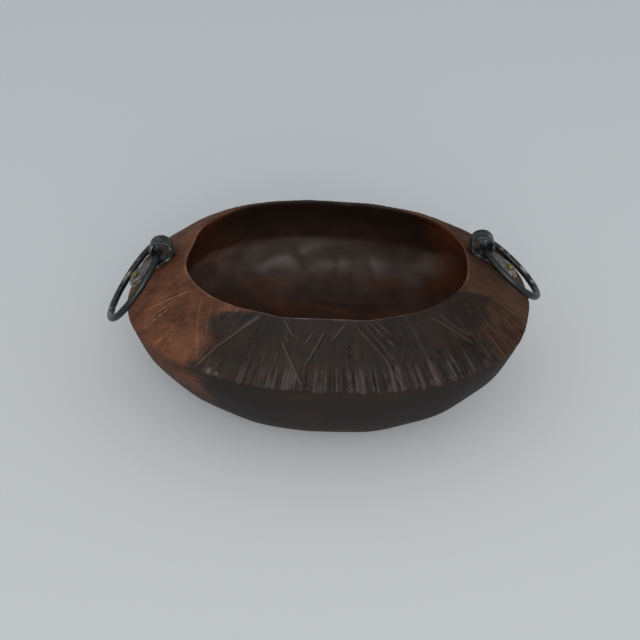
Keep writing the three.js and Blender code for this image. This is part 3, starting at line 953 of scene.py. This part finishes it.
def buildNail(side, place):
    profile = [(0.02, -nail["length"]), (nail["shank"], nail["point"] - nail["length"])]
    profile += [(nail["shank"], -0.02), (nail["head"] - 0.15, 0), (nail["head"], 0.14)]
    for turn in np.linspace(0, math.pi / 2, nail["domeRows"])[:-1]:
        rise = blend(nail["headEdge"], nail["headHeight"], math.sin(turn))
        profile.append((nail["head"] * math.cos(turn), rise))
    profile.append((0.05, nail["headHeight"]))
    turns = np.arange(nail["sides"]) / nail["sides"] * 2 * math.pi
    vertices, faces = skin([circle(turns, radius) + (0, 0, level) for radius, level in profile])
    onHead = vertices[:, 2] > 0.2
    dents = scoops(vertices, nail["dentSize"], handles[side]["seeds"]["nail"])
    vertices = vertices * (1 + (onHead * nail["dent"] * (dents - 0.35))[:, None] * (1, 1, 0.6))
    vertices = vertices + (0, 0, 2 * (strap["seatGap"] + strap["thickness"]) + strap["leafSlit"])
    layers = {"dents": dents}
    made = newObject("nail_" + side + "_brass", vertices, faces, layers, nail["smoothAngle"])
    return putInPlace(made, nailPlace(handles[side], place))


# A ring lies where the frame's own ring lies: its middle and hinge come from there.
def buildRing(side):
    node = frame["nodes"]["ring_" + side]
    joints = {joint["name"]: joint for joint in frame["record"]["behaviour"]["joints"]}
    joint = joints[side + "_ring_hinge"]
    corners = np.array([tuple(v.co) for v in node.data.vertices]) / millimetre
    hinge = np.array(joint["pos_m"]) / millimetre
    across = -np.array(joint["axis"])
    across /= np.linalg.norm(across)
    middle = corners.mean(0)
    down = middle - hinge
    down -= across * (down @ across)
    down /= np.linalg.norm(down)
    out = np.cross(down, across)
    reach = (corners - hinge) @ down
    radius = float(reach.max() + reach.min()) / 2
    opening = wire["gap"] / radius
    start = math.radians(handles[side]["joint"])
    turns = start + opening / 2 + np.linspace(0, 1, wire["steps"]) * (2 * math.pi - opening)
    sides = np.arange(wire["sides"]) / wire["sides"] * 2 * math.pi
    sections = []
    for turn in turns:
        toEnd = radius * min(turn - turns[0], turns[-1] - turn)
        thick = wire["radius"] - max(0, wire["endBevel"] - toEnd)
        ray = down * math.cos(turn) + across * math.sin(turn)
        rounded = np.outer(np.cos(sides), ray) + np.outer(np.sin(sides), out)
        sections.append(hinge + (down + ray) * radius + thick * rounded)
    vertices, faces = skin(sections)
    centres = np.repeat([s.mean(0) for s in sections], wire["sides"], axis=0)
    flaw = ripples(vertices, wire["flawSize"], handles[side]["seeds"]["ring"])
    vertices = vertices + (vertices - centres) / wire["radius"] * (wire["flaw"] * flaw)[:, None]
    ray = centres - (hinge + down * radius)
    outward = ((vertices - centres) * ray).sum(1) / (radius * wire["radius"])
    upward = (vertices - centres) @ out / wire["radius"]
    low = (centres - hinge) @ down / (2 * radius)
    # painted highlight along the top and inner side of the wire
    rubbed = (0.75 * upward - 0.66 * outward) * handles[side]["rubbed"]
    layers = {"outward": outward, "rubbed": rubbed, "low": low, "flaw": flaw}
    smoothAngle = wire["smoothAngle"]
    return newObject("ring_" + side + "_wire", vertices * millimetre, faces, layers, smoothAngle)


bowlPiece = buildBowl()
print("bowl carved,", len(bowlPiece.data.polygons), "faces")
pieces = {"bowl": bowlPiece}
for side in handles:
    place = handlePlace(handles[side])
    pieces["clip_" + side] = buildClip(side, place)
    pieces["nail_" + side] = buildNail(side, place)
    pieces["ring_" + side] = buildRing(side)
print("handles bent and nailed")


# One socket of a shader, so that sums and products of values can be written out.
class Wire:
    def __init__(self, socket):
        self.socket = socket
        self.tree = socket.id_data

    @classmethod
    def node(cls, tree, kind, settings, inputs, output=0):
        made = tree.nodes.new("ShaderNode" + kind)
        for name, value in settings.items():
            setattr(made, name, value)
        for name, value in inputs.items():
            if isinstance(value, Wire):
                tree.links.new(value.socket, made.inputs[name])
            else:
                made.inputs[name].default_value = value
        return cls(made.outputs[output])

    def maths(self, operation, first, second):
        return Wire.node(self.tree, "Math", {"operation": operation}, {0: first, 1: second})

    def __add__(self, other):
        return self.maths("ADD", self, other)

    def __radd__(self, other):
        return self.maths("ADD", other, self)

    def __sub__(self, other):
        return self.maths("SUBTRACT", self, other)

    def __rsub__(self, other):
        return self.maths("SUBTRACT", other, self)

    def __mul__(self, other):
        return self.maths("MULTIPLY", self, other)

    def __rmul__(self, other):
        return self.maths("MULTIPLY", other, self)


def tint(code):  # a colour as painted, from its web code
    parts = [int(code[i:i + 2], 16) / 255 for i in (1, 3, 5)]
    return (*(p / 12.92 if p < 0.04045 else ((p + 0.055) / 1.055) ** 2.4 for p in parts), 1)


def tints(**codes):
    return {name: tint(code) for name, code in codes.items()}


def newMaterial(name):
    made = bpy.data.materials.new(name)
    made.use_nodes = True
    return made, made.node_tree, made.node_tree.nodes["Principled BSDF"]


def feed(shader, values):
    for name, value in values.items():
        if isinstance(value, Wire):
            value.tree.links.new(value.socket, shader.inputs[name])
        else:
            shader.inputs[name].default_value = value


def mixTint(share, first, second):
    inputs = {0: share, 6: first, 7: second}
    return Wire.node(share.tree, "Mix", {"data_type": "RGBA"}, inputs, 2)


def between(value, low, high):
    inputs = {"Value": value, "From Min": low, "From Max": high}
    return Wire.node(value.tree, "MapRange", {"interpolation_type": "SMOOTHSTEP"}, inputs)


def layers(tree, names):
    return [Wire.node(tree, "Attribute", {"attribute_name": n}, {}, 2) for n in names.split()]


# Noises in the object's own space, each given as stretch, detail, roughness and warp.
def grains(tree, noises):
    here = Wire.node(tree, "TexCoord", {}, {}, 3)
    made = []
    for stretch, detail, rough, warp in noises.values():
        spot = Wire.node(tree, "Mapping", {}, {"Vector": here, "Scale": stretch})
        inputs = {"Vector": spot, "Scale": 1, "Detail": detail, "Roughness": rough}
        made.append(Wire.node(tree, "TexNoise", {}, inputs | {"Distortion": warp}))
    return made


def bump(height, strength, distance):
    inputs = {"Strength": strength, "Distance": distance, "Height": height}
    return Wire.node(height.tree, "Bump", {}, inputs)


# The hollow's top tint is painted shade, the glow painted light, the two rim tints painted
# highlight, and the darkest serves dark pores and painted shade
woodTints = tints(
    warm="#65402e", warmDeep="#3f281d", plain="#4b3729", plainDeep="#35231a",
    sooty="#1c1816", sootyRed="#291c18", sootyGrey="#211f1e", rib="#3b3836", ribPink="#403537",
    hull="#211e1d", hullBrown="#35261e", hollow="#281a13", hollowRed="#3e2416",
    hollowDeep="#1b110e", hollowTop="#150e0b", glow="#5c2d1a", dust="#5f5853",
    dustWarm="#a4765a", rimPale="#7d6758", rimGrey="#5a4f4a", crevice="#0d0a08",
)
woodGrain = {
    "streak": ((40, 520, 460), 4, 0.55, 0),  # runs along the dish
    "broad": ((14, 55, 55), 3, 0.5, 0.6),
    "patch": ((45, 60, 60), 4, 0.55, 0.4),
    "fine": ((900, 900, 900), 3, 0.6, 0),
    "pores": ((260, 2600, 2600), 2, 0.5, 0),
}
woodGloss = {
    "band": 0.62, "hull": 0.55, "hollow": 0.5, "end": 0.55, "specular": 0.06,
    "coat": 0.42, "coatRough": 0.32,
}


def carvedWood():
    made, tree, shader = newMaterial("carvedWood")
    paint, gloss = woodTints, woodGloss
    streak, broad, patch, fine, pores = grains(tree, woodGrain)
    sooty, leftEnd, pale, dark, rib = layers(tree, "sooty leftEnd pale dark rib")
    hull, hollow, rim, depth, hue, glow = layers(tree, "hull hollow rim depth hue glow")

    lines = between(streak, 0.38, 0.66)
    blotch = between(patch, 0.36, 0.64)
    cloud = between(broad, 0.42, 0.66)
    warm = mixTint(lines * 0.25 + blotch * 0.7, paint["warmDeep"], paint["warm"])
    plain = mixTint(lines * 0.35 + blotch * 0.6, paint["plainDeep"], paint["plain"])
    bare = mixTint(leftEnd, plain, warm)
    soot = mixTint(blotch * 0.8, paint["sooty"], paint["sootyRed"])
    soot = mixTint(cloud * 0.7, soot, paint["sootyGrey"])
    ribTint = mixTint(between(hue, -0.9, 0.9), paint["rib"], paint["ribPink"])
    soot = mixTint(between(rib, 0, 1.6) * 0.75, soot, ribTint)
    outer = mixTint(sooty * (0.9 + 0.15 * lines), bare, soot)
    under = mixTint(cloud * 0.3, paint["hull"], paint["hullBrown"])
    under = mixTint(leftEnd * (1 - sooty) * (0.75 + 0.2 * lines), under, warm)
    redness = cloud * between(depth, 0.8, 1.4)
    inner = mixTint(redness, paint["hollow"], paint["hollowRed"])
    inner = mixTint(blotch * 0.5, inner, paint["hollowDeep"])
    # painted shade on the upper, undercut part of the hollow's wall
    inner = mixTint(0.85 - 0.85 * between(depth, 0.2, 1), inner, paint["hollowTop"])
    # painted sheen along the crease where the hollow's wall turns into its floor, in the grey dust
    # tint
    crease = between(depth, 0.86, 1) * (1 - between(depth, 1.08, 1.35))
    handled = crease * (0.1 + 0.5 * cloud + 0.3 * blotch)
    inner = mixTint(handled * 0.4, inner, paint["dust"])
    # painted light on the hollow's inner ends
    inner = mixTint(glow * (0.45 + 0.35 * cloud), inner, paint["glow"])
    tone = mixTint(hull, outer, under)
    tone = mixTint(hollow, tone, inner)
    speck = between(fine, 0.68, 0.76) * (1 - hollow) * 0.25
    tone = mixTint(speck, tone, paint["dust"])
    # pale marks: dust and painted highlight on one flank of each cut, with pale streaks and chips
    film = mixTint(sooty, paint["dustWarm"], paint["dust"])
    tone = mixTint(pale * (0.6 + 0.5 * fine) * 0.8, tone, film)
    # painted highlight along the rim's edge, warm on bare wood and grey on the dark
    edge = mixTint(sooty, paint["rimPale"], paint["rimGrey"])
    tone = mixTint(rim * (0.3 + 0.5 * blotch), tone, edge)
    # dark pores of the grain, then the dark attribute: painted shade in cuts, holes and cracks,
    # under the keel, round the clips and at the upper right
    tone = mixTint(between(pores, 0.62, 0.7) * 0.4, tone, paint["crevice"])
    tone = mixTint(dark * 0.85, tone, paint["crevice"])

    bareEnd = leftEnd * (1 - hollow) * (1 - hull)
    rough = gloss["band"] + hull * (gloss["hull"] - gloss["band"])
    rough = rough + hollow * (gloss["hollow"] - gloss["band"])
    rough = rough + bareEnd * (gloss["end"] - gloss["band"])
    rough = rough + (fine - 0.5) * 0.25 + dark * 0.25
    oiled = between(depth, 0.3, 0.8) * (1 - 0.9 * between(depth, 1.04, 1.38))
    relief = streak * 0.5 + fine * 0.25 + pores * 0.3
    feed(shader, {
        "Base Color": tone,
        "Roughness": rough,
        "Normal": bump(relief, 0.3, 0.0003),
        "Coat Weight": oiled * gloss["coat"],
        "Coat Roughness": gloss["coatRough"],
        "Specular IOR Level": gloss["specular"],
    })
    return made


ironTints = tints(base="#424748", deep="#26292b", bright="#6d7475", dust="#85796a")
ironGrain = {"blotch": ((260, 260, 260), 4, 0.6, 0), "fine": ((1800, 1800, 1800), 3, 0.6, 0)}


def strapIron():
    made, tree, shader = newMaterial("strapIron")
    patch, fine = grains(tree, ironGrain)
    dusty, worn = layers(tree, "dusty worn")
    blotch = between(patch, 0.36, 0.66)
    tone = mixTint(blotch, ironTints["deep"], ironTints["base"])
    tone = mixTint(between(worn + fine, 0.9, 2), tone, ironTints["bright"])
    film = dusty * between(fine, 0.35, 0.6)
    tone = mixTint(film * 0.75, tone, ironTints["dust"])
    feed(shader, {
        "Base Color": tone,
        "Metallic": 0.85 - film * 0.7,
        "Roughness": 0.36 + blotch * 0.14 + film * 0.3,
        "Normal": bump(blotch + fine * 0.5, 0.3, 0.0002),
    })
    return made


# the third tint is painted sheen at the ring's bottom, the last the pale of a painted highlight
# along its top
wireTints = tints(black="#0f1012", brown="#1e1a18", blue="#343c42", worn="#85857f")
wireGrain = {"blotch": ((110, 110, 110), 3, 0.5, 0), "fine": ((1600, 1600, 1600), 3, 0.6, 0)}


def ringIron():
    made, tree, shader = newMaterial("ringIron")
    patch, fine = grains(tree, wireGrain)
    outward, flaw, rubbed, low = layers(tree, "outward flaw rubbed low")
    blotch = between(patch, 0.5, 0.72)
    tone = mixTint(blotch, wireTints["black"], wireTints["brown"])
    # painted sheen on the lowest part of the ring
    tone = mixTint(between(low + outward * 0.1, 0.78, 1) * 0.85, tone, wireTints["blue"])
    # painted highlight along the wire's top and inner side, in a pale tint
    line = between(rubbed + flaw * 0.06, 0.84, 1) * between(blotch + flaw * 0.3, 0.1, 0.7)
    tone = mixTint(line * 0.85, tone, wireTints["worn"])
    feed(shader, {
        "Base Color": tone,
        "Metallic": 0.34,
        "Roughness": 0.4 + blotch * 0.15,
        "Normal": bump(blotch + fine * 0.4, 0.3, 0.0002),
    })
    return made


brassTints = tints(clean="#958b58", dull="#4d4728", dirt="#1c1912")
brassGrain = {"blotch": ((900, 900, 900), 3, 0.6, 0)}


def nailBrass():
    made, tree, shader = newMaterial("nailBrass")
    blotch = between(grains(tree, brassGrain)[0], 0.38, 0.62)
    dents = layers(tree, "dents")[0]
    tone = mixTint(blotch, brassTints["dull"], brassTints["clean"])
    tone = mixTint(between(dents, 0.45, 0.8) * 0.7, tone, brassTints["dirt"])
    feed(shader, {
        "Base Color": tone,
        "Metallic": 0.95,
        "Roughness": 0.3 + blotch * 0.15,
        "Normal": bump(blotch, 0.2, 0.0001),
    })
    return made


movingBodies = {"ring_left": "left_handle", "ring_right": "right_handle"}


# Every piece stands for the node of its name, and all but the rings ride on the dish.
def dress(kind, material):
    for name, piece in pieces.items():
        if name.startswith(kind):
            piece.data.materials.append(material)
            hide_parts(name)
            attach(piece, movingBodies.get(name, "dish"))


dress("bowl", carvedWood())
dress("clip", strapIron())
dress("ring", ringIron())
dress("nail", nailBrass())
print("pieces dressed")

# The pale floor, the soft light and the camera.
studio = {
    "floorTint": tint("#b6b9bc"),
    "floorHalf": 4,
    "skyTint": (0.95, 0.98, 1, 1),
    "skyBack": 0.42,
    "skyFront": 1.12,
    "skyFrom": (0.2, -0.85, 0.45),
    "skySpread": (-0.4, 0.9),
    "keyTint": (1, 0.97, 0.93),
    "keyFrom": (0.35, -1.75, 1.0),
    "keySize": 1.6,
    "keyPower": 30,
    "target": (0, 0, 0.03),
    "distance": 0.55,
    "azimuth": 4.8,
    "elevation": 40,
    "focal": 59.23,
    "shift": (-0.01406, 0.01406),
}


def buildFloor():
    half = studio["floorHalf"]
    corners = [(-half, -half, 0), (half, -half, 0), (half, half, 0), (-half, half, 0)]
    floor = newObject("floor", corners, [(0, 1, 2, 3)])
    made, _, shader = newMaterial("paleFloor")
    feed(shader, {"Base Color": studio["floorTint"], "Roughness": 0.9, "Specular IOR Level": 0.1})
    floor.data.materials.append(made)


def buildSky():
    world = bpy.data.worlds.new("sky")
    bpy.context.scene.world = world
    world.use_nodes = True
    tree = world.node_tree
    tree.nodes.clear()
    heading = Wire.node(tree, "TexCoord", {}, {}, 0)
    inputs = {0: heading, 1: studio["skyFrom"]}
    facing = Wire.node(tree, "VectorMath", {"operation": "DOT_PRODUCT"}, inputs, 1)
    spread = studio["skyFront"] - studio["skyBack"]
    strength = studio["skyBack"] + spread * between(facing, *studio["skySpread"])
    light = Wire.node(tree, "Background", {}, {"Color": studio["skyTint"], "Strength": strength})
    output = tree.nodes.new("ShaderNodeOutputWorld")
    tree.links.new(light.socket, output.inputs["Surface"])


def buildLamp():
    lamp = bpy.data.lights.new("key", "AREA")
    lamp.shape = "DISK"
    lamp.size = studio["keySize"]
    lamp.energy = studio["keyPower"]
    lamp.color = studio["keyTint"]
    made = bpy.data.objects.new("key", lamp)
    bpy.context.scene.collection.objects.link(made)
    made.location = studio["keyFrom"]
    heading = Vector(studio["target"]) - made.location
    made.rotation_euler = heading.to_track_quat("-Z", "Y").to_euler()


def buildCamera():
    lens = bpy.data.cameras.new("camera")
    camera = bpy.data.objects.new("camera", lens)
    bpy.context.scene.collection.objects.link(camera)
    azimuth, elevation = math.radians(studio["azimuth"]), math.radians(studio["elevation"])
    flat = math.cos(elevation)
    back = Vector((math.sin(azimuth) * flat, -math.cos(azimuth) * flat, math.sin(elevation)))
    camera.location = Vector(studio["target"]) + back * studio["distance"]
    camera.rotation_euler = back.to_track_quat("Z", "Y").to_euler()
    lens.sensor_width = 36
    lens.lens = studio["focal"]
    lens.shift_x, lens.shift_y = studio["shift"]
    lens.clip_start = 0.01
    bpy.context.scene.camera = camera


buildFloor()
buildSky()
buildLamp()
buildCamera()
bpy.context.scene.view_settings.view_transform = "Standard"
print("floor, light and camera set")

bpy.context.view_layer.update()
